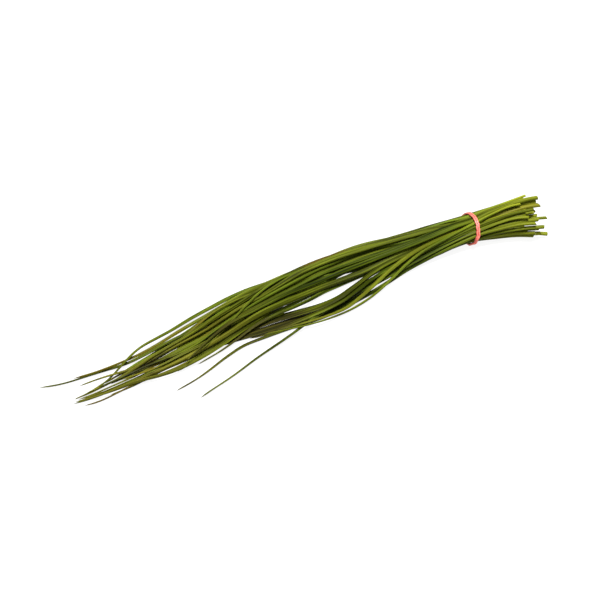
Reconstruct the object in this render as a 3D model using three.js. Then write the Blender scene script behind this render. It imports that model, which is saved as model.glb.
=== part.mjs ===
// A bunch of cut chives lying on a table, held near the cut ends by a doubled rubber band.
//
// Millimetres, +Z up, the table at z = 0. The leaves run along X, cut ends at +X and tips at -X. While the
// bunch is laid out, x = 0 is the middle of the band and y = 0 runs through it. At the end the group is
// shifted, so that its origin is on the table under the middle of its bounding box.
//
// Each leaf is one closed tube that tapers to its tip. It starts from its place in the stack of layers that
// the band squeezes together, and from there follows its own route sideways. Many rounds of settling then
// let the leaves sink onto each other and onto the table, as they do when the bunch is put down.

import * as THREE from "three";

// ---- Leaves
const FULL_RADIUS = 1.1; // a middling leaf where it is fullest
const TIP_RADIUS = 0.22;
const GIRTHS = [0.82, 1.14]; // thinnest and thickest leaf, against the middling one
const SIDES = 6; // faces round a leaf
const PITCH = 12; // between two rings of a leaf, along x
const CLEARANCE = 0.12; // left between neighbours

// Share of the full radius along a leaf, from its cut end at 0 to its tip at 1.
const GIRTH = [
  [0, 0.86],
  [0.15, 0.92],
  [0.4, 1],
  [0.65, 0.98],
  [0.82, 0.82],
  [0.94, 0.48],
  [1, TIP_RADIUS / FULL_RADIUS],
];

// ---- The squeezed section inside the band
const LAYERS = [4, 6, 7, 8, 7, 6, 4]; // leaves in each layer, from the table up
const SQUEEZED_RADIUS = 1.07; // of every leaf under the band
const SLOT_WIDTH = 2 * SQUEEZED_RADIUS + CLEARANCE; // from leaf to leaf in a layer
const SLOT_HEIGHT = SLOT_WIDTH * Math.sin(Math.PI / 3); // each layer lies in the hollows of the one below
const WAIST = 5; // the leaves stay squeezed this far to each side of the band
const STRAND_RADIUS = 0.52; // of the rubber band
const STRAND_GAP = 0.16; // between the band's two turns, and from them to the leaves
const BAND_Y = 1.2; // the middle of the band
const BAND_LEAN = { up: 0.3, across: 0.22 }; // along x, for each millimetre up and towards +Y

// ---- Beyond the band
const FLARE = { x: 40, wide: 1.75, high: 1.34, rise: 1.8 }; // how the cut ends fan out
const FLARE_SHIFT = [-24, -6]; // of the lowest and the highest layer there, along y
const CUT_REACH = [28, 42.5]; // nearest and furthest cut end

// Sheaves of leaves that lie side by side, between a far and a near edge given as [x, y].
const SHEAVES = {
  front: {
    share: [0, 0.24], // which part of each layer goes into this sheaf, from the near side
    slump: { share: 0.6, to: 0 }, // how far the upper layers have slid, and to which place from the near side
    far: [
      [-30, 1], [-60, -3], [-80, -8], [-100, -9], [-115, -4],
      [-125, 0], [-150, 2], [-200, -11], [-262, -14],
    ],
    near: [
      [-30, -2], [-60, -7], [-80, -15], [-100, -24],
      [-125, -32], [-155, -16], [-200, -19], [-262, -22],
    ],
    tips: { from: -142, to: -205, favour: 1.4, sorted: 0.5 }, // sorted: the near leaves end first
    lift: 0, // where the sheaves run into each other, the back one comes to lie over the front one
  },
  back: {
    share: [0.24, 1],
    slump: { share: 0.6, to: 0.35 },
    far: [
      [-30, 10.5], [-60, 14], [-100, 16], [-140, 13.5],
      [-170, 6.5], [-205, -2.5], [-235, -6], [-262, -8],
    ],
    near: [
      [-30, 1.5], [-60, 7], [-80, 7.5], [-100, 3.5], [-112, -1],
      [-125, -8], [-150, -11], [-180, -22.5], [-205, -22.5], [-262, -18],
    ],
    tips: { from: -176, to: -252, favour: 0.7, sorted: 0 },
    lift: 7,
  },
};

// Leaves that go their own way. Each takes the place of the one at its layer and place from the near side.
const LOOSE = [
  // Over the front sheaf and down to the table before it.
  {
    at: [6, 0],
    girth: 0.68,
    route: [[-16, -2.5], [-36, -2.5], [-50, -6], [-65, -13], [-79, -18.5], [-101, -23], [-146, -20]],
  },
  {
    at: [5, 1],
    girth: 0.93,
    route: [[-16, -1], [-38, -1], [-58, -5], [-72, -11], [-85, -17], [-98, -21.5], [-140, -20]],
  },
  // Straying out of the front sheaf.
  {
    at: [4, 0],
    girth: 0.87,
    route: [[-16, -3], [-40, -4], [-75, -11], [-109, -18.5], [-132, -26], [-153, -33], [-196, -50]],
  },
  {
    at: [3, 0],
    girth: 0.93,
    route: [[-40, -5], [-75, -13], [-103, -18], [-140, -20], [-156, -21], [-175, -27], [-203, -35]],
  },
  // Along the outline at the far side, and the one that reaches furthest.
  {
    at: [4, 6],
    girth: 1.04,
    route: [
      [-16, 9], [-37, 12], [-78, 17], [-110, 20.5], [-138, 20.5],
      [-156, 16], [-180, 8], [-205, 0], [-225, -7], [-246, -9],
    ],
  },
  {
    at: [2, 4],
    girth: 0.98,
    route: [[-30, 6], [-100, 8], [-160, 1], [-205, -5], [-226, -3.5], [-242, -1], [-259, 2]],
  },
  {
    at: [3, 5],
    girth: 1.09,
    route: [[-30, 8], [-100, 12], [-160, 6], [-205, -2], [-243, -5.5]],
  },
  // Along the slit between the sheaves, and on to the table.
  {
    at: [4, 2],
    girth: 1.04,
    route: [[-30, 3], [-60, 7], [-92, 3.5], [-115, -5], [-146, -10], [-167, -16], [-184, -21]],
  },
  // Across the back sheaf towards the near side.
  {
    at: [6, 1],
    girth: 1.2,
    route: [[-30, 2], [-70, 6], [-112, 2], [-131, -3], [-158, -11], [-175, -18], [-190, -24]],
  },
  {
    at: [6, 2],
    girth: 0.98,
    route: [[-30, 4], [-80, 8], [-129, 0], [-154, -6], [-172, -15], [-190, -23]],
  },
  {
    at: [6, 3],
    girth: 0.71,
    route: [[-30, 8], [-80, 12], [-110, 9], [-135, 0.5], [-158, -9.5], [-180, -18]],
  },
  // Broad ones.
  {
    at: [5, 3],
    girth: 1.31,
    route: [[-30, 6], [-100, 9], [-140, 3], [-164, -3], [-210, -10], [-243, -10]],
  },
  {
    at: [5, 2],
    girth: 1.31,
    route: [[-30, 5], [-60, 8], [-100, 5], [-140, -4], [-174, -14], [-203, -18], [-247, -18]],
  },
];

// ---- Settling
const ROUNDS = 1000;
const FINAL_ROUNDS = 500; // without weight and steering, so that the last overlaps go
const FALL = [0.14, 0.05]; // how far a free leaf sinks in a round, at first and in the end
const HELD_APART = 5.6; // from layer to layer of the free parts, before they settle
const STEER = 0.03; // share of the way back to its route in a round
const BEND = 0.03; // how strongly a leaf resists bending
const PUSH = 0.4; // share of an overlap by which a round moves each of two leaves away
const FURTHEST_PUSH = 0.15;

const { lerp, clamp, smoothstep, degToRad } = THREE.MathUtils;

// The same sequence of numbers from 0 to 1 on every run.
function variation(seed) {
  let state = seed;
  return () => {
    state = (Math.imul(state, 1664525) + 1013904223) >>> 0;
    return state / 2 ** 32;
  };
}

// A smooth function through [x, value] points, which may be in either order.
function through(points) {
  const sorted = [...points].sort((a, b) => a[0] - b[0]);
  const spline = new THREE.CubicInterpolant(sorted.map((p) => p[0]), sorted.map((p) => p[1]), 1);
  return (x) => spline.evaluate(clamp(x, sorted[0][0], sorted.at(-1)[0]))[0];
}

const girthAlong = through(GIRTH);
const sheaves = Object.entries(SHEAVES).map(([name, sheaf]) => ({
  ...sheaf,
  name,
  far: through(sheaf.far),
  near: through(sheaf.near),
}));

// The stack of layers: the lowest rests on the band, and the band on the table.
const LOWEST = SQUEEZED_RADIUS + 2 * STRAND_RADIUS + STRAND_GAP;
const STACK = {
  width: (Math.max(...LAYERS) - 1) * SLOT_WIDTH,
  height: (LAYERS.length - 1) * SLOT_HEIGHT,
};
STACK.middle = LOWEST + STACK.height / 2;

// ---- Where each leaf is to go

function planLeaf(layer, place, random) {
  const rank = (place + 0.5) / LAYERS[layer];
  const sheaf = sheaves.find(({ share }) => rank <= share[1]);
  const height = layer / (LAYERS.length - 1);
  const beside = (place - (LAYERS[layer] - 1) / 2) * SLOT_WIDTH;
  const slot = { y: BAND_Y + beside, z: LOWEST + layer * SLOT_HEIGHT };
  const cut = lerp(CUT_REACH[0], CUT_REACH[1] - Math.abs(beside), random());
  const usualGirth = lerp(...GIRTHS, random());
  const usualReach = random() ** sheaf.tips.favour;
  const [from, to] = sheaf.share;
  const shuffled = (rank - from) / (to - from) + lerp(-0.1, 0.1, random());
  const across = lerp(clamp(shuffled, 0, 1), sheaf.slump.to, sheaf.slump.share * height);
  const sway = lerp(-1.4, 1.4, random());
  const usualTip = lerp(sheaf.tips.from, sheaf.tips.to, lerp(usualReach, across, sheaf.tips.sorted));

  const loose = LOOSE.find(({ at }) => at[0] === layer && at[1] === place);
  const radius = FULL_RADIUS * (loose?.girth ?? usualGirth);
  const tip = loose?.route.at(-1)[0] ?? usualTip;
  const inSheaf = (x) => ({ low: sheaf.near(x) + radius, high: sheaf.far(x) - radius });
  const besideOthers = (x) => {
    const { low, high } = inSheaf(x);
    return lerp(low, high, across) + sway * Math.sin(x / 24 + place);
  };
  const route = loose?.route ?? [-30, -60, -100, -140, -180, -220, -262].map((x) => [x, besideOthers(x)]);
  const flared = slot.y + beside * (FLARE.wide - 1) + lerp(...FLARE_SHIFT, height);
  return {
    name: loose ? "loose_leaf" : `${sheaf.name}_leaf`,
    layer,
    place,
    cut,
    tip,
    slot,
    lift: sheaf.lift,
    inSheaf: loose ? null : inSheaf,
    planY: through([...route, [0, slot.y], [FLARE.x / 3, lerp(slot.y, flared, 0.3)], [FLARE.x, flared]]),
    radiusAt(x) {
      const free = radius * girthAlong((cut - x) / (cut - tip));
      return lerp(free, SQUEEZED_RADIUS, Math.exp(-((x / WAIST) ** 2)));
    },
  };
}

function planLeaves() {
  const random = variation(20);
  return LAYERS.flatMap((count, layer) =>
    Array.from({ length: count }, (_, place) => planLeaf(layer, place, random)),
  );
}

// ---- Settling the leaves

// How high the free part of a leaf is held before it settles, which says what passes over what.
function heldHeight({ layer, place, lift }, x) {
  return LOWEST + (layer + (place % 2) / 2 + lift * smoothstep(-x, 105, 150)) * HELD_APART;
}

// Rings of a leaf: one at each station it passes, and one at each end.
function layOut(leaf) {
  const xs = [leaf.cut];
  for (let x = Math.floor(leaf.cut / PITCH - 0.25) * PITCH; x > leaf.tip + PITCH / 3; x -= PITCH) xs.push(x);
  xs.push(leaf.tip);
  leaf.rings = xs.map((x) => {
    const ahead = clamp(x / FLARE.x, 0, 1.1);
    const planZ = leaf.slot.z + ((leaf.slot.z - STACK.middle) * (FLARE.high - 1) + FLARE.rise) * ahead;
    const planY = leaf.planY(x);
    const free = smoothstep(-x, 2, 40);
    const z = lerp(planZ, heldHeight(leaf, x), free);
    return { x, y: planY, z, r: leaf.radiusAt(x), planY, planZ, free };
  });
}

// The stretches where two leaves run side by side, from ring to ring. Each holds the two segments, and the
// shares of the way along them at its start and end.
function stretches(leaf, other) {
  const found = [];
  for (let i = 1; i < leaf.rings.length; i++)
    for (let j = 1; j < other.rings.length; j++) {
      const segments = [leaf.rings.slice(i - 1, i + 1), other.rings.slice(j - 1, j + 1)];
      const from = Math.min(segments[0][0].x, segments[1][0].x);
      const to = Math.max(segments[0][1].x, segments[1][1].x);
      const shares = segments.map(([a, b]) => [from, to].map((x) => (a.x - x) / (a.x - b.x)));
      if (from > to) found.push({ segments, shares });
    }
  return found;
}

function shift([a, b], share, y, z) {
  a.y += y * (1 - share);
  a.z += z * (1 - share);
  b.y += y * share;
  b.z += z * share;
}

// Push two leaves apart where they come closest in a stretch.
function pushApart({ segments: [[a, b], [c, d]], shares: [s, t] }) {
  const y = lerp(a.y, b.y, s[0]) - lerp(c.y, d.y, t[0]);
  const z = lerp(a.z, b.z, s[0]) - lerp(c.z, d.z, t[0]);
  const dy = lerp(a.y, b.y, s[1]) - lerp(c.y, d.y, t[1]) - y;
  const dz = lerp(a.z, b.z, s[1]) - lerp(c.z, d.z, t[1]) - z;
  const along = clamp(-(y * dy + z * dz) / (dy * dy + dz * dz + 1e-9), 0, 1);
  const [gapY, gapZ] = [y + dy * along, z + dz * along];
  const gap = Math.hypot(gapY, gapZ) + 1e-6;
  if (gap > 4 * FULL_RADIUS) return;
  const [ours, theirs] = [lerp(...s, along), lerp(...t, along)];
  // Leaves that run side by side at a slope need more room in a section square to X.
  const rise = (gapY * (a.y - b.y + c.y - d.y) + gapZ * (a.z - b.z + c.z - d.z)) / gap;
  const slope = rise / (a.x - b.x + c.x - d.x);
  const need = (lerp(a.r, b.r, ours) + lerp(c.r, d.r, theirs)) * Math.hypot(1, slope) + CLEARANCE;
  if (gap > need) return;
  const push = Math.min((need - gap) * PUSH, FURTHEST_PUSH) / gap;
  shift([a, b], ours, gapY * push, gapZ * push);
  shift([c, d], theirs, -gapY * push, -gapZ * push);
}

// A stiff leaf bends as evenly as it can: the fourth difference along it goes towards nothing.
function straighten(rings, strength) {
  const bent = (k, key) => {
    const at = (i) => rings[i][key] - (key === "y" ? rings[i].planY : 0);
    return at(k - 2) - 4 * at(k - 1) + 6 * at(k) - 4 * at(k + 1) + at(k + 2);
  };
  const inner = rings.slice(2, -2).map((ring, i) => ({ ring, y: bent(i + 2, "y"), z: bent(i + 2, "z") }));
  for (const { ring, y, z } of inner) {
    ring.y -= y * strength;
    ring.z -= z * strength;
  }
  // The last rings at each end carry straight on from those before them.
  for (const [end, next, third] of [[1, 2, 3], [0, 1, 2], [-2, -3, -4], [-1, -2, -3]]) {
    const [e, n, t] = [rings.at(end), rings.at(next), rings.at(third)];
    const on = (e.x - n.x) / (n.x - t.x);
    for (const key of ["y", "z"]) e[key] = lerp(e[key], n[key] + (n[key] - t[key]) * on, strength);
  }
}

// The band keeps the leaves inside an oval as wide and as high as the stack of layers.
function squeeze(ring) {
  const y = (ring.y - BAND_Y) / (STACK.width / 2);
  const z = (ring.z - STACK.middle) / (STACK.height / 2);
  const out = Math.hypot(y, z);
  if (Math.abs(ring.x) > WAIST || out <= 1.05) return;
  const back = lerp(1, 1.05 / out, 0.3);
  ring.y = lerp(BAND_Y, ring.y, back);
  ring.z = lerp(STACK.middle, ring.z, back);
}

// Leaves of a sheaf stay between its edges, up to where the sheaves run into each other.
function keepInSheaf(leaf, ring) {
  if (!leaf.inSheaf || ring.x > -45 || ring.x < -160) return;
  const { low, high } = leaf.inSheaf(ring.x);
  ring.y = lerp(ring.y, clamp(ring.y, low, high), 0.5);
}

function settle(leaves) {
  const meetings = leaves.flatMap((leaf, i) =>
    leaves.slice(i + 1).flatMap((other) => stretches(leaf, other)),
  );
  for (let round = 0; round < ROUNDS + FINAL_ROUNDS; round++) {
    const easing = round >= ROUNDS;
    const fall = lerp(FALL[0], FALL[1], Math.min(round / ROUNDS, 1));
    for (const { rings, inSheaf } of leaves) {
      // The leaves of a sheaf are let go bit by bit.
      const steer = STEER * (inSheaf ? 1 - (0.9 * round) / ROUNDS : 1);
      for (const ring of rings) {
        if (easing) continue;
        ring.y += (ring.planY - ring.y) * lerp(STEER, steer, ring.free);
        ring.z += (ring.planZ - ring.z) * STEER * (1 - ring.free) - fall * ring.free;
      }
      straighten(rings, BEND * clamp(1 - (round - ROUNDS) / (FINAL_ROUNDS / 2), 0, 1));
    }
    meetings.forEach(pushApart);
    for (const leaf of leaves)
      for (const ring of leaf.rings) {
        squeeze(ring);
        if (!easing) keepInSheaf(leaf, ring);
        ring.z = Math.max(ring.z, ring.r + 0.02);
      }
  }
}

// Where a leaf is at x.
function locate({ rings }, x) {
  const k = clamp(rings.findIndex((ring) => ring.x < x), 1, rings.length - 1);
  const [a, b] = [rings[k - 1], rings[k]];
  const t = (a.x - x) / (a.x - b.x);
  return { y: lerp(a.y, b.y, t), z: lerp(a.z, b.z, t), r: lerp(a.r, b.r, t) };
}

// ---- Geometry

// Sections are cut square to X, so each is drawn out along the leaf's slope there: the leaf stays round.
function leafGeometry({ rings }) {
  const geometry = new THREE.CylinderGeometry(1, 1, rings.length - 1, SIDES, rings.length - 1);
  const position = geometry.attributes.position;
  const corner = new THREE.Vector2();
  const slope = new THREE.Vector2();
  for (let i = 0; i < position.count; i++) {
    const k = Math.round((rings.length - 1) / 2 - position.getY(i));
    const [a, b] = [rings[Math.max(k - 1, 0)], rings[Math.min(k + 1, rings.length - 1)]];
    slope.set(a.y - b.y, a.z - b.z).divideScalar(a.x - b.x);
    const steepness = slope.length();
    corner.set(position.getX(i), -position.getZ(i)).multiplyScalar(rings[k].r);
    slope.normalize();
    corner.addScaledVector(slope, corner.dot(slope) * (Math.hypot(1, steepness) - 1));
    position.setXYZ(i, rings[k].x, rings[k].y + corner.x, rings[k].z + corner.y);
  }
  return geometry;
}

// The band goes twice round the leaves. Its turns lie side by side, and swap places where one passes over
// the other. Angles go round the bunch from +Y over the top.
const BAND_STEPS = 64; // in a turn
const CROSSING = degToRad(200);
const CROSSING_SHARPNESS = 6;

class BandCurve extends THREE.Curve {
  constructor(leaves) {
    super();
    this.leaves = leaves;
  }

  getPoint(t, target = new THREE.Vector3()) {
    const turn = t * 4 * Math.PI;
    const angle = turn + CROSSING + Math.PI;
    const [y, z] = [Math.cos(angle), Math.sin(angle)];
    const apart = 2 * STRAND_RADIUS + STRAND_GAP;
    const swap = CROSSING_SHARPNESS * Math.cos(turn / 2);
    const lean = (BAND_LEAN.up * z * STACK.height + BAND_LEAN.across * y * STACK.width) / 2;
    const x = (Math.tanh(swap) * apart) / 2 + lean;
    const over = turn < 2 * Math.PI ? apart / Math.cosh(swap) : 0;
    // The leaf that reaches furthest out at this angle holds the band.
    const reach = (at) => at.y * y + at.z * z + at.r;
    const beside = [x - STRAND_RADIUS, x + STRAND_RADIUS];
    const sections = beside.flatMap((edge) => this.leaves.map((leaf) => locate(leaf, edge)));
    const held = sections.reduce((best, at) => (reach(at) > reach(best) ? at : best));
    const out = held.r + STRAND_GAP + STRAND_RADIUS + over;
    return target.set(x, held.y + y * out, held.z + z * out);
  }
}

function bandGeometry(leaves) {
  return new THREE.TubeGeometry(new BandCurve(leaves), BAND_STEPS * 2, STRAND_RADIUS, SIDES, true);
}

// ---- The bunch

const leafGreen = new THREE.MeshStandardMaterial({ color: "#5f7223", roughness: 0.45, metalness: 0 });
const bandPink = new THREE.MeshStandardMaterial({ color: "#ee857a", roughness: 0.6, metalness: 0 });

const leaves = planLeaves();
leaves.forEach(layOut);
settle(leaves);

const bunch = new THREE.Group();
const numbers = {};
for (const leaf of leaves) {
  numbers[leaf.name] = (numbers[leaf.name] ?? 0) + 1;
  const mesh = new THREE.Mesh(leafGeometry(leaf), leafGreen.clone());
  mesh.name = `${leaf.name}_${String(numbers[leaf.name]).padStart(2, "0")}`;
  bunch.add(mesh);
}

const band = new THREE.Mesh(bandGeometry(leaves), bandPink);
band.name = "rubber_band";
bunch.add(band);

const box = new THREE.Box3().setFromObject(bunch);
const middle = box.getCenter(new THREE.Vector3());
for (const mesh of bunch.children) mesh.position.set(-middle.x, -middle.y, -box.min.z);

export default bunch;
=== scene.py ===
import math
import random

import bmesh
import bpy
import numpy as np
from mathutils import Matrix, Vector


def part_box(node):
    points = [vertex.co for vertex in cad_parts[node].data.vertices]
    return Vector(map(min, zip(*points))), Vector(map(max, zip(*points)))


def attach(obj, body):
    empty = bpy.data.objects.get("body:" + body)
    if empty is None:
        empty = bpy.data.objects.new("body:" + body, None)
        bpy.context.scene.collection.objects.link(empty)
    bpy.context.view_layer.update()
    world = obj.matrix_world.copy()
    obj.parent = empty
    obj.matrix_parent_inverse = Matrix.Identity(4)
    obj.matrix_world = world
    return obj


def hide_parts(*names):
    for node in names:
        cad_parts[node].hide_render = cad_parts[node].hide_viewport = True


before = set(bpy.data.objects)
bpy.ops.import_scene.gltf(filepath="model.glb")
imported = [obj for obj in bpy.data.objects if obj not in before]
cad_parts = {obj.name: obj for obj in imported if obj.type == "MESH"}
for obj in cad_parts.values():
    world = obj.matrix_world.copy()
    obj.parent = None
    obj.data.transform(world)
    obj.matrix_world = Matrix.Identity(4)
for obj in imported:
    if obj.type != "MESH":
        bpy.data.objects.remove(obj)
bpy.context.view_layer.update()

# A bunch of cut chives lying on a table, held near the cut ends by a rubber band that goes round it twice.
#
# The frame gives the route and the thickness of every leaf. Here each one gets its real surface: a round
# tube, a little flattened, with a hollow cut end and a tip that runs out to a point. Metres, +Z up, the
# table at z = 0, cut ends at +X and tips at -X.

MM = 0.001

# ---- Leaves
LEAF_SIDES = 22
LEAF_STEP = 2 * MM  # from ring to ring along a leaf
LEAF_WALL = 0.35 * MM
HOLLOW_SHOWN = 7 * MM  # how deep the hollow of a cut end goes, past where light reaches
RIM_ROUNDING = 0.12 * MM
CUT_SLANTS = (0.15, 0.75)  # tangents of the flattest and the steepest slant of a cut
SLANT_FADES = 5 * MM  # the slant of the cut dies out within this length
SLIMMER = 0.95  # a leaf's width as a share of its solid's, which leaves a dark gap between neighbours
THINNING = 0.2  # how much slimmer still it gets towards its tip, as it dries there
UNEVENNESS = 0.035  # by which share the width of a leaf varies along it
UNEVEN_LENGTH = 22 * MM
TIP_TAPER = 5 * MM  # a leaf runs out to its point over this length
SLIMMEST = 0.36 * MM  # half the width of a leaf just before its point
POINT_RADIUS = 0.04 * MM
PALE_FOOT = 55 * MM  # a leaf is paler for this length from its cut end

SWAY = 0.16 * MM  # a leaf wavers this much from its even route behind the band
TIP_SWAY = 0.7 * MM  # and this much near its tip
SWAY_LENGTHS = (38 * MM, 46 * MM)  # of its wavering sideways, and up and down

# Angles round a leaf start at its far side and go over its top.
FLATNESS = (0.0, 0.12)  # how much wider than round a leaf is
BROAD_FLATNESS = 0.22
LIMP_FLATNESS = 0.95  # where a leaf has gone limp and spread over its neighbours
TURN = (-0.5, 0.5)  # the angle by which a leaf's wide side is off level
TURN_CHANGE = 0.6  # and how much that changes along the leaf
TURN_CHANGE_LENGTH = 160 * MM
GROOVE_PLACES = (1.7, 3.2)  # where the groove along a wilted leaf lies, as an angle round it
GROOVE_DEPTHS = (0.15, 0.5)  # as a share of the leaf's radius
GROOVE_WIDTH = 0.4  # half the width, as an angle round the leaf
DRY_GROOVE_DEPTH = 0.6  # of a second groove beside it, where a leaf dries out towards its tip
GROOVES_APART = 0.88

# What changes along a leaf sets in over a stretch: where that starts, and how long it is. These are lengths
# behind the band or, for the plain numbers, shares of the leaf.
SWAY_SETS_IN = (20 * MM, 30 * MM)
TIP_SWAY_SETS_IN = (130 * MM, 80 * MM)
LIMPNESS_SETS_IN = (85 * MM, 25 * MM)
THINNING_SETS_IN = (0.45, 0.4)
DRY_GROOVE_SETS_IN = (0.5, 0.3)
YELLOW_SETS_IN = (0.62, 0.38)
BRUISING_SETS_IN = (0.7, 0.2)

YELLOW_TIPS = (0.15, 1.0)  # how yellow and how bruised leaves are at their tips, from and to
BRUISED_TIPS = (0.1, 0.7)
BROAD_LEAVES = ("loose_leaf_08", "loose_leaf_09")
YELLOW_FOOT = "loose_leaf_08"  # the leaf that is yellow at its cut end
# How much yellower these leaves are, and the stretch behind the band over which that sets in
YELLOWED_LEAVES = {
    "loose_leaf_07": (0.3, 20 * MM, 20 * MM),
    "loose_leaf_08": (0.8, 130 * MM, 50 * MM),
    "loose_leaf_09": (0.8, 130 * MM, 50 * MM),
    "loose_leaf_10": (0.3, 20 * MM, 20 * MM),
}
# How far behind the band the middle of a rust streak lies, and half its length
RUST_STREAKS = {"loose_leaf_03": (85 * MM, 20 * MM), "back_leaf_22": (85 * MM, 20 * MM)}
RUST_STRENGTH = 0.75
# x, y, half length, half width and strength, in millimetres from the middle of the band
BRUISED_PLACES = [
    (-150, -19, 12, 5, 0.6),
    (-132, -15, 15, 7, 0.8),
    (-112, -12, 10, 4, 0.65),
    (-175, 1, 16, 5, 0.4),
    (-167, -11, 8, 4, 0.5),
    (-205, -14, 14, 7, 0.4),
]
# How light leaves are, from and to
TONES = {
    "back_leaf": (0.1, 0.9),
    "loose_leaf": (0.1, 0.9),
    "front_leaf": (0.0, 0.25),
    "loose_leaf_02": (0.2, 0.4),
    "loose_leaf_04": (0.2, 0.4),
    "loose_leaf_07": (0.95, 1.0),
    "loose_leaf_10": (0.95, 1.0),
}

# ---- Rubber band
STRAND_WIDTH = 1.0 * MM
STRAND_THICKNESS = 0.95 * MM
STRAND_SIDES = 16
STRAND_ROUNDNESS = 0.6  # of its section: 1 is round, 0 is square
STRAND_STEP = 0.4 * MM
STRANDS_APART = 1.02 * MM  # from middle to middle
BAND_LEAN = (1.63 * MM, 1.65 * MM)  # along x, at the far side and at the top
BAND_CROSSING = math.radians(200)  # where the turns swap sides, from the far side over the top
CROSSING_SHARPNESS = 6

# ---- Colours, darker and lighter
STRAW = ("#383705", "#5e5b18")
BRUISE = ("#0f1006", "#2d290d")
RUST = ("#3a3007", "#574a12")
PALE = ("#4e550d", "#7d811d")
CORAL = ("#ac4438", "#d87062")

chance = random.Random(11)  # what differs from leaf to leaf is drawn from this, the same each time


# ---- Routes

def corners(name):
    """The corners of a leaf's solid, those at the cut end first."""
    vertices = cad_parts[name].data.vertices
    places = np.empty(len(vertices) * 3)
    vertices.foreach_get("co", places)
    places = places.reshape(-1, 3)
    return places[np.argsort(-places[:, 0])]


def stations(name):
    """x, y, z and radius of a leaf at each ring of its solid, from the cut end to the tip.

    The corners of a ring share one x. The first and the last ring have the middle of their cap as well.
    """
    hair = 0.05 * MM
    places = corners(name)
    new_ring = np.flatnonzero(np.diff(places[:, 0]) < -hair) + 1
    rows = []
    for ring in np.split(places, new_ring):
        middle = (ring.min(axis=0) + ring.max(axis=0)) / 2
        reach = np.linalg.norm(ring - middle, axis=1)
        rows.append([*middle, np.median(reach[reach > hair])])
    return np.array(rows)


def smooth_through(xs, values, at):
    """A smooth curve through the values at xs, read at each place in at. xs and at run downwards."""
    slopes = np.gradient(values, xs, axis=0)
    k = np.clip(np.searchsorted(-xs, -at, side="right") - 1, 0, len(xs) - 2)
    span = (xs[k + 1] - xs[k])[:, None]
    t = (at - xs[k])[:, None] / span
    from_here = (1 + 2 * t) * (1 - t) ** 2 * values[k] + t * (1 - t) ** 2 * span * slopes[k]
    from_next = t**2 * (3 - 2 * t) * values[k + 1] + t**2 * (t - 1) * span * slopes[k + 1]
    return from_here + from_next


def waver(at, wavelength):
    """A slow, uneven swing between about -1 and 1 along a leaf, the sum of three even ones."""
    stretched = (1, 1.7, 2.9)
    phases = [chance.uniform(0, 2 * math.pi) for _ in stretched]
    return sum(np.sin(at * 2 * math.pi / (wavelength * s) + p) for s, p in zip(stretched, phases)) / 2


def sets_in(value, start, over):
    """0 up to the start, then rising evenly to 1 over that length."""
    return np.clip((value - start) / over, 0, 1)


def leaf_route(name):
    """The middle line of a leaf in even steps, and its radius there."""
    known = KNOWN_STATIONS[name]
    steps = int((known[0, 0] - known[-1, 0]) / LEAF_STEP)
    at = np.linspace(known[0, 0], known[-1, 0], steps + 1)
    rows = smooth_through(known[:, 0], known[:, 1:], at)
    route = np.column_stack([at, rows[:, 0], rows[:, 1]])
    radius = rows[:, 2]
    behind_band = BAND_MIDDLE.x - at
    sway = SWAY * sets_in(behind_band, *SWAY_SETS_IN)
    sway = sway + (TIP_SWAY - SWAY) * sets_in(behind_band, *TIP_SWAY_SETS_IN)
    route[:, 1] += waver(at, SWAY_LENGTHS[0]) * sway
    route[:, 2] += waver(at, SWAY_LENGTHS[1]) * sway / 2
    share = (at[0] - at) / (at[0] - at[-1])
    thinned = 1 - THINNING * sets_in(share, *THINNING_SETS_IN)
    uneven = 1 + UNEVENNESS * waver(at, UNEVEN_LENGTH)
    radius = np.maximum(radius * SLIMMER * thinned * uneven, SLIMMEST)
    radius = radius * sets_in(at - at[-1], 0, TIP_TAPER) ** 0.5 + POINT_RADIUS
    return route, radius


# ---- Meshes

def loop_edges(bm, loop):
    """The edges of a closed loop of vertices."""
    return [bm.edges.get((loop[i - 1], loop[i])) for i in range(len(loop))]


def extruded(bm, loop):
    """A new loop, extruded from this one, with its vertices in the same order."""
    number = {vert: i for i, vert in enumerate(loop)}
    grown = bmesh.ops.extrude_edge_only(bm, edges=loop_edges(bm, loop))["geom"]
    new_loop = [None] * len(loop)
    for vert in (item for item in grown if isinstance(item, bmesh.types.BMVert)):
        source = next(e.other_vert(vert) for e in vert.link_edges if e.other_vert(vert) in number)
        new_loop[number[source]] = vert
    return new_loop


def loft(bm, rings, capped=True):
    """A skin through rings of points: one circle, extruded from each ring to the next. Gives its loops."""
    loops = [bmesh.ops.create_circle(bm, segments=len(rings[0]), cap_ends=capped, radius=1)["verts"]]
    while len(loops) < len(rings):
        loops.append(extruded(bm, loops[-1]))
    for loop, ring in zip(loops, rings):
        for vert, place in zip(loop, ring):
            vert.co = place
    if capped:
        bm.faces.new(loops[-1])
    return loops


def place_piece(bm, name, solid, materials):
    """Turn the bmesh into a smooth piece, shown instead of the solid of that name."""
    mesh = bpy.data.meshes.new(name)
    bm.to_mesh(mesh)
    bm.free()
    for material in materials:
        mesh.materials.append(material)
    mesh.shade_smooth()
    piece = bpy.data.objects.new(name, mesh)
    bpy.context.collection.objects.link(piece)
    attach(piece, "root")
    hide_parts(solid)


# ---- Leaves

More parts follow.
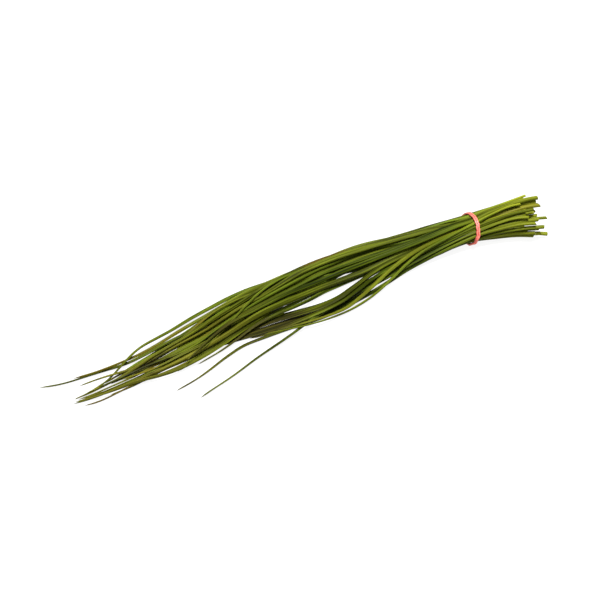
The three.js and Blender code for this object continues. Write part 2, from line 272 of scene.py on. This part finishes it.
def leaf_look(name, route):
    """How yellow and how bruised a leaf is along its length, and its tone, all from 0 to 1."""
    at = route[:, 0]
    across = route[:, 1] - BAND_MIDDLE.y
    share = (at[0] - at) / (at[0] - at[-1])
    behind_band = BAND_MIDDLE.x - at
    yellow = sets_in(share, *YELLOW_SETS_IN) ** 1.3 * chance.uniform(*YELLOW_TIPS)
    bruise = sets_in(share, *BRUISING_SETS_IN) * chance.uniform(*BRUISED_TIPS)
    for x, y, long, wide, strength in BRUISED_PLACES:
        near = ((behind_band + x * MM) / (long * MM)) ** 2 + ((across - y * MM) / (wide * MM)) ** 2
        bruise += np.exp(-near) * strength * chance.uniform(0.5, 1)
    if name in RUST_STREAKS:
        middle, half_length = RUST_STREAKS[name]
        bruise += np.exp(-(((behind_band - middle) / half_length) ** 2)) * RUST_STRENGTH
    if name == YELLOW_FOOT:
        yellow += np.clip(1.4 - (at[0] - at) / PALE_FOOT, 0, 1)
    if name in YELLOWED_LEAVES:
        strength, start, over = YELLOWED_LEAVES[name]
        yellow += strength * sets_in(behind_band, start, over)
    kind = name if name in TONES else name[:-3]
    tone = np.full(len(at), chance.uniform(*TONES[kind]))
    return np.column_stack([np.clip(yellow, 0, 1), np.clip(bruise, 0, 1), tone])


def limpness(name, route):
    """How much wider than round a leaf is where it has gone limp. Only the near sheaf has."""
    if name.startswith("front_leaf"):
        return LIMP_FLATNESS * sets_in(BAND_MIDDLE.x - route[:, 0], *LIMPNESS_SETS_IN)
    return np.zeros(len(route))


def leaf_rings(name):
    """The rings of a leaf, from deep in the hollow of its cut end, out over the rim and on to the tip.

    Gives the places, and the two markings of each point: where it would lie on the straightened leaf, and
    how yellow, bruised and light the leaf is there.
    """
    route, radius = leaf_route(name)
    limp = limpness(name, route)
    # A leaf that spreads gets thinner, and sinks onto what it lies on
    route[:, 2] -= radius * (1 - 1 / (1 + limp))
    tangent = np.gradient(route, axis=0)
    tangent /= np.linalg.norm(tangent, axis=1, keepdims=True)
    side = np.cross(tangent, [0, 0, 1])
    side /= np.linalg.norm(side, axis=1, keepdims=True)
    up = np.cross(side, tangent)
    length = np.concatenate([[0], np.cumsum(np.linalg.norm(np.diff(route, axis=0), axis=1))])
    look = leaf_look(name, route)
    flat = 1 + (BROAD_FLATNESS if name in BROAD_LEAVES else chance.uniform(*FLATNESS)) + limp
    turned = chance.uniform(*TURN) + TURN_CHANGE * waver(route[:, 0], TURN_CHANGE_LENGTH)
    turned = turned * (1 - limp)  # a limp leaf lies level
    slant = chance.uniform(*CUT_SLANTS)
    slant_towards = chance.uniform(0, 2 * math.pi)
    angles = np.arange(LEAF_SIDES) * 2 * math.pi / LEAF_SIDES
    groove_at = chance.uniform(*GROOVE_PLACES)
    groove = chance.uniform(*GROOVE_DEPTHS) * np.exp(-(((angles - groove_at) / GROOVE_WIDTH) ** 2))
    dry_groove_at = groove_at + chance.choice((-1, 1)) * GROOVES_APART
    dry_groove = DRY_GROOVE_DEPTH * np.exp(-(((angles - dry_groove_at) / GROOVE_WIDTH) ** 2))
    courses = np.column_stack([route, tangent, side, up, radius, turned, flat]).T

    def ring(along, inset=0.0):
        """The ring at a distance from the cut, inset from the surface."""
        here = np.array([np.interp(along, length, course) for course in courses])
        middle, ahead, across, above = here[:3], here[3:6], here[6:9], here[9:12]
        size, twist, flatness = here[12] - inset, here[13], here[14]
        wilted = groove * sets_in(along, HOLLOW_SHOWN, 2 * HOLLOW_SHOWN)
        dried = dry_groove * sets_in(along / length[-1], *DRY_GROOVE_SETS_IN)
        size = size * (1 - wilted - dried)
        wide = size * flatness * np.cos(angles)
        high = size / flatness * np.sin(angles)
        y = wide * math.cos(twist) - high * math.sin(twist)
        z = wide * math.sin(twist) + high * math.cos(twist)
        fade = max(1 - along / SLANT_FADES, 0) ** 2
        back = fade * slant * (y * math.cos(slant_towards) + z * math.sin(slant_towards))
        places = middle + np.outer(y, across) + np.outer(z, above) + np.outer(back, ahead)
        straight = np.column_stack([along + back, y, z])
        ageing = np.array([np.interp(along, length, course) for course in look.T])
        return places, straight, np.tile(ageing, (LEAF_SIDES, 1))

    cut = [
        ring(HOLLOW_SHOWN, LEAF_WALL),
        ring(HOLLOW_SHOWN / 3, LEAF_WALL),
        ring(0, LEAF_WALL),
        ring(0, RIM_ROUNDING),
        ring(RIM_ROUNDING),
    ]
    rest = [ring(along) for along in length[1:]]
    return cut + rest


def leaf(name):
    """One leaf, with its skin outside and its paler flesh on the cut and in the hollow, where painted shade
    darkens the flesh with depth.

    The skins are drawn by lot. Olive leaves of the far sheaf wither rusty, and so do those with a streak.
    """
    rings = leaf_rings(name)
    bm = bmesh.new()
    straight = bm.verts.layers.float_vector.new("straight")
    ageing = bm.verts.layers.float_vector.new("ageing")
    loops = loft(bm, [places for places, _, _ in rings])
    for loop, (_, laid_out, aged) in zip(loops, rings):
        for vert, own_place, own_age in zip(loop, laid_out, aged):
            vert[straight] = own_place
            vert[ageing] = own_age
    bmesh.ops.recalc_face_normals(bm, faces=bm.faces)
    cut_loops = loops[:4]  # from deep in the hollow to the outer edge of the rim
    inner = {vert for loop in cut_loops for vert in loop}
    for face in bm.faces:
        face.material_index = int(all(vert in inner for vert in face.verts))
    skin = chance.choice([FRESH_SKIN, DEEP_GREEN_SKIN, OLIVE_SKIN])
    if name in RUST_STREAKS or (skin == OLIVE_SKIN and name.startswith("back_leaf")):
        skin = RUSTY_SKIN
    place_piece(bm, "chive_" + name, name, [skin, CUT_FLESH_AND_PAINTED_SHADE])


# ---- Rubber band

def leaf_sections(x):
    """y, z and radius of every leaf that passes x."""
    found = []
    for name in LEAVES:
        known = KNOWN_STATIONS[name]
        if known[-1, 0] < x < known[0, 0]:
            found.append([np.interp(-x, -known[:, 0], known[:, c]) for c in (1, 2, 3)])
    return np.array(found)


def strand_route():
    """The middle line of the band's strand, twice round the bunch, and which way is outwards along it.

    It changes sides in the middle of each turn. The first time it passes over itself.
    """
    places = []
    outwards = []
    steps_a_turn = 180
    for turn in np.linspace(0, 4 * math.pi, 2 * steps_a_turn, endpoint=False):
        angle = turn + BAND_CROSSING + math.pi
        out = np.array([math.cos(angle), math.sin(angle)])
        swap = CROSSING_SHARPNESS * math.cos(turn / 2)
        x = BAND_MIDDLE.x + math.tanh(swap) * STRANDS_APART / 2 + np.dot(BAND_LEAN, out)
        over = STRAND_THICKNESS / math.cosh(swap) if turn < 2 * math.pi else 0
        sections = leaf_sections(x)
        held = sections[np.argmax(sections[:, :2] @ out + sections[:, 2])]
        places.append([x, *(held[:2] + out * (held[2] + STRAND_THICKNESS / 2 + over))])
        outwards.append([0, *out])
    return even_steps(np.array(places), np.array(outwards))


def eased(rows, rounds):
    """The rows of a closed loop, each drawn towards its neighbours in that many rounds."""
    for _ in range(rounds):
        rows = rows / 2 + (np.roll(rows, 1, axis=0) + np.roll(rows, -1, axis=0)) / 4
    return rows


def even_steps(places, outwards):
    """The strand's closed route in even steps, with its corners eased."""
    closed = np.vstack([places, places[:1]])
    turned = np.vstack([outwards, outwards[:1]])
    length = np.concatenate([[0], np.cumsum(np.linalg.norm(np.diff(closed, axis=0), axis=1))])
    at = np.linspace(0, length[-1], int(length[-1] / STRAND_STEP), endpoint=False)
    even = np.column_stack([np.interp(at, length, column) for column in closed.T])
    facing = np.column_stack([np.interp(at, length, column) for column in turned.T])
    return eased(even, 3), eased(facing, 12)


def strand_section():
    """The outline of the cut strand, wide and thick, a rectangle with rounded corners."""
    angles = np.arange(STRAND_SIDES) * 2 * math.pi / STRAND_SIDES
    round_section = np.array([np.cos(angles), np.sin(angles)])
    wide, thick = np.sign(round_section) * np.abs(round_section) ** STRAND_ROUNDNESS
    return wide * STRAND_WIDTH / 2, thick * STRAND_THICKNESS / 2


def rubber_band():
    """The band: one closed loop of strand."""
    route, outwards = strand_route()
    tangent = np.roll(route, -1, axis=0) - np.roll(route, 1, axis=0)
    tangent /= np.linalg.norm(tangent, axis=1, keepdims=True)
    side = np.cross(outwards, tangent)
    side /= np.linalg.norm(side, axis=1, keepdims=True)
    out = np.cross(tangent, side)
    wide, thick = strand_section()
    rings = [m + np.outer(wide, a) + np.outer(thick, o) for m, a, o in zip(route, side, out)]
    bm = bmesh.new()
    loops = loft(bm, rings, capped=False)
    bmesh.ops.bridge_loops(bm, edges=loop_edges(bm, loops[0]) + loop_edges(bm, loops[-1]))
    bmesh.ops.recalc_face_normals(bm, faces=bm.faces)
    place_piece(bm, "coral_rubber_band", "rubber_band", [BAND_RUBBER])


# ---- Materials

def colour(hex_code):
    """An sRGB hex colour as linear red, green, blue and alpha."""
    parts = [int(hex_code[i : i + 2], 16) / 255 for i in (1, 3, 5)]
    linear = [c / 12.92 if c <= 0.04045 else ((c + 0.055) / 1.055) ** 2.4 for c in parts]
    return (*linear, 1)


def node(tree, kind, settings=None, stops=(), **links):
    """Add a node. settings are its properties, links its inputs: a value or another node's output.

    An input is named, with _ for a space, or numbered as i0. stops are a colour ramp's places and colours.
    """
    made = tree.nodes.new("ShaderNode" + kind)
    for key, value in (settings or {}).items():
        setattr(made, key, value)
    for number, (place, hex_code) in enumerate(stops):
        stop = made.color_ramp.elements[number] if number < 2 else made.color_ramp.elements.new(1)
        stop.position = place
        stop.color = colour(hex_code)
    for key, value in links.items():
        socket = made.inputs[int(key[1:]) if key[1:].isdigit() else key.replace("_", " ")]
        if isinstance(value, bpy.types.NodeSocket):
            tree.links.new(value, socket)
        else:
            socket.default_value = value
    return made


def new_material(name):
    """A material and its tree, still empty."""
    material = bpy.data.materials.new(name)
    material.use_nodes = True
    tree = material.node_tree
    tree.nodes.clear()
    return material, tree


def finish_material(tree, **sockets):
    """Give a material its shader, with the given sockets."""
    shader = node(tree, "BsdfPrincipled", **sockets)
    node(tree, "OutputMaterial", Surface=shader.outputs["BSDF"])


def along_leaf(tree, long, across):
    """Coordinates on the straightened leaf, for a pattern with features of that length and width."""
    straight = node(tree, "Attribute", {"attribute_name": "straight"})
    scale = (1 / long, 1 / across, 1 / across)
    return node(tree, "Mapping", Vector=straight.outputs["Vector"], Scale=scale).outputs["Vector"]


def leaf_skin(name, brown, deep, middle, light):
    """Chive leaf skin: a thin wax bloom over green, with veins along it, so it shines only a little.

    The veins are 0.3 mm apart on the leaf. They are drawn 0.9 mm apart, as coarse as they need to show.
    The skin is pale at the foot, turns straw-coloured where it yellows, and brown where it is bruised.
    """
    material, tree = new_material(name)
    ageing = node(tree, "Attribute", {"attribute_name": "ageing"})
    parts = node(tree, "SeparateXYZ", Vector=ageing.outputs["Vector"])
    yellow, bruised, tone = parts.outputs["X"], parts.outputs["Y"], parts.outputs["Z"]
    offset = node(tree, "CombineXYZ", X=tone, Y=tone, Z=tone)
    shifted = node(tree, "VectorMath", {"operation": "SCALE"}, Vector=offset.outputs["Vector"], Scale=37.0)

    def pattern(long, across, detail):
        """Noise with features of that length and width, in another place for each leaf by its tone."""
        place = node(tree, "VectorMath", i0=along_leaf(tree, long, across), i1=shifted.outputs["Vector"])
        made = node(tree, "TexNoise", Vector=place.outputs["Vector"], Scale=1.0, Detail=detail)
        return made.outputs["Fac"]

    def blend(factor, first, second):
        """The first colour going over into the second."""
        return node(tree, "Mix", {"data_type": "RGBA"}, i0=factor, i6=first, i7=second).outputs[2]

    # Green, lighter and darker along the veins, in patches and from leaf to leaf
    veins = pattern(45 * MM, 0.9 * MM, 3.0)
    patches = pattern(24 * MM, 3 * MM, 3.0)
    own = node(tree, "MapRange", Value=tone, To_Min=-0.42, To_Max=0.42).outputs["Result"]
    mixed = node(tree, "Math", {"operation": "MULTIPLY_ADD"}, i0=veins, i1=2.2, i2=own).outputs[0]
    both = node(tree, "Math", {"operation": "MULTIPLY_ADD"}, i0=patches, i1=0.6, i2=mixed).outputs[0]
    level = node(tree, "MapRange", Value=both, From_Min=0.95, From_Max=1.85).outputs["Result"]
    green = node(tree, "ValToRGB", stops=[(0.05, deep), (0.95, light), (0.5, middle)], Fac=level)

    # The pale foot
    straight = node(tree, "Attribute", {"attribute_name": "straight"})
    from_cut = node(tree, "SeparateXYZ", Vector=straight.outputs["Vector"]).outputs["X"]
    foot = node(tree, "MapRange", Value=from_cut, From_Max=PALE_FOOT, To_Min=1.0, To_Max=0.0)
    foot_tone = node(tree, "MapRange", Value=tone, To_Min=0.45, To_Max=1.0)
    foot_share = node(
        tree, "Math", {"operation": "MULTIPLY"}, i0=foot.outputs["Result"], i1=foot_tone.outputs["Result"]
    ).outputs[0]
    pale = node(tree, "ValToRGB", stops=[(0.35, PALE[0]), (0.65, PALE[1])], Fac=veins)
    skin = blend(foot_share, green.outputs["Color"], pale.outputs["Color"])

    # Straw where it yellows, then brown spots that run together where it is bruised
    straw = node(tree, "ValToRGB", stops=[(0.3, STRAW[0]), (0.6, STRAW[1])], Fac=veins)
    withered = node(tree, "Math", {"operation": "MULTIPLY"}, i0=yellow, i1=0.8).outputs[0]
    skin = blend(withered, skin, straw.outputs["Color"])
    spots = pattern(7 * MM, 1.0 * MM, 4.0)
    spots = node(tree, "Math", {"operation": "ADD"}, i0=spots, i1=bruised).outputs[0]
    spotted = node(tree, "MapRange", Value=spots, From_Min=0.84, From_Max=1.2, To_Max=0.88)
    browned = node(tree, "ValToRGB", stops=[(0.4, brown[0]), (0.6, brown[1])], Fac=veins)
    skin = blend(spotted.outputs["Result"], skin, browned.outputs["Color"])

    gloss = node(tree, "MapRange", Value=patches, To_Min=0.35, To_Max=0.5).outputs["Result"]
    bump = node(tree, "Bump", Strength=1.0, Distance=0.16 * MM, Height=veins).outputs["Normal"]
    finish_material(tree, Base_Color=skin, Roughness=gloss, Normal=bump, Specular_IOR_Level=0.03)
    return material


def cut_flesh_and_painted_shade(name):
    """The wall of a cut leaf: moist, matt and pale green, with painted shade that darkens it down the
    hollow.
    """
    material, tree = new_material(name)
    straight = node(tree, "Attribute", {"attribute_name": "straight"})
    depth = node(tree, "SeparateXYZ", Vector=straight.outputs["Vector"]).outputs["X"]
    # Painted shade: the wall goes from pale at the rim to near black 4 mm down the hollow, where light
    # hardly reaches.
    level = node(tree, "MapRange", Value=depth, From_Min=0.3 * MM, From_Max=4 * MM).outputs["Result"]
    flesh_and_painted_shade = node(tree, "ValToRGB", stops=[(0, "#8a8f42"), (1, "#151a05"), (0.3, "#454c14")], Fac=level)
    finish_material(tree, Base_Color=flesh_and_painted_shade.outputs["Color"], Roughness=0.6, Specular_IOR_Level=0.3)
    return material


def band_rubber(name):
    """Pale coral natural rubber, moulded and slit, with a dusty bloom that keeps it matt."""
    material, tree = new_material(name)
    place = node(tree, "TexCoord").outputs["Object"]
    dust = node(tree, "TexNoise", Vector=place, Scale=1 / (0.8 * MM), Detail=3.0).outputs["Fac"]
    coral = node(tree, "ValToRGB", stops=[(0.3, CORAL[0]), (0.7, CORAL[1])], Fac=dust)
    bump = node(tree, "Bump", Strength=0.2, Distance=0.03 * MM, Height=dust).outputs["Normal"]
    finish_material(tree, Base_Color=coral.outputs["Color"], Roughness=0.5, Normal=bump)
    return material


def table_top(name):
    """White acrylic table, lit evenly from below, so that hardly a shadow shows on it."""
    material, tree = new_material(name)
    lit = {"Emission_Color": colour("#ffffff"), "Emission_Strength": 0.9}
    finish_material(tree, Base_Color=colour("#5c5c5c"), Roughness=0.9, **lit)
    return material


# ---- Table, light and camera

def table_plane():
    """The table, 6 m square."""
    bm = bmesh.new()
    bmesh.ops.create_grid(bm, x_segments=1, y_segments=1, size=3)
    mesh = bpy.data.meshes.new("table_top")
    bm.to_mesh(mesh)
    bm.free()
    mesh.materials.append(table_top("white_table"))
    table = bpy.data.objects.new("table_top", mesh)
    bpy.context.collection.objects.link(table)


def soft_light(name, place, size, power):
    """A square soft light that faces the bunch."""
    light = bpy.data.lights.new(name, "AREA")
    light.size = size
    light.energy = power
    lamp = bpy.data.objects.new(name, light)
    lamp.location = place
    lamp.rotation_euler = (-Vector(place)).to_track_quat("-Z", "Y").to_euler()
    bpy.context.collection.objects.link(lamp)


def studio_light():
    """A strong soft light above, a weak broad one at the front left, and a little white all round."""
    world = bpy.data.worlds.new("studio")
    world.use_nodes = True
    around = world.node_tree.nodes["Background"]
    around.inputs["Color"].default_value = colour("#ffffff")
    around.inputs["Strength"].default_value = 0.2
    bpy.context.scene.world = world
    soft_light("window_light", (0.15, -0.2, 1.2), 0.35, 44)
    soft_light("fill_light", (-0.4, -0.6, 0.7), 0.8, 6)


def camera():
    """Looks down on the bunch from its near side, turned towards the cut ends."""
    azimuth, elevation = math.radians(-31.4), math.radians(34)
    distance, aimed_behind_band, lens = 878 * MM, 109.9 * MM, 100
    level = math.cos(elevation)
    back = Vector((math.sin(azimuth) * level, -math.cos(azimuth) * level, math.sin(elevation)))
    target = Vector((BAND_MIDDLE.x - aimed_behind_band, BAND_MIDDLE.y, 0))
    data = bpy.data.cameras.new("camera")
    data.lens = lens
    eye = bpy.data.objects.new("camera", data)
    eye.location = target + back * distance
    eye.rotation_euler = back.to_track_quat("Z", "Y").to_euler()
    bpy.context.collection.objects.link(eye)
    bpy.context.scene.camera = eye


# ---- The bunch

band_low, band_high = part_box("rubber_band")
BAND_MIDDLE = (Vector(band_low) + Vector(band_high)) / 2
LEAVES = sorted(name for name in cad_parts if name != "rubber_band")
KNOWN_STATIONS = {name: stations(name) for name in LEAVES}

FRESH_SKIN = leaf_skin("fresh_leaf_skin", BRUISE, "#202702", "#374208", "#536415")
DEEP_GREEN_SKIN = leaf_skin("deep_green_leaf_skin", BRUISE, "#171f02", "#2f3a05", "#4a5611")
OLIVE_SKIN = leaf_skin("olive_leaf_skin", BRUISE, "#222603", "#3b4108", "#565f14")
RUSTY_SKIN = leaf_skin("rusty_olive_leaf_skin", RUST, "#222603", "#3b4108", "#565f14")
# The cut flesh material also carries painted shade down the hollow of each cut end.
CUT_FLESH_AND_PAINTED_SHADE = cut_flesh_and_painted_shade("cut_leaf_flesh_and_painted_shade")
BAND_RUBBER = band_rubber("coral_band_rubber")

camera()
studio_light()
table_plane()
for leaf_name in LEAVES:
    leaf(leaf_name)
rubber_band()

bpy.context.scene.view_settings.view_transform = "Standard"
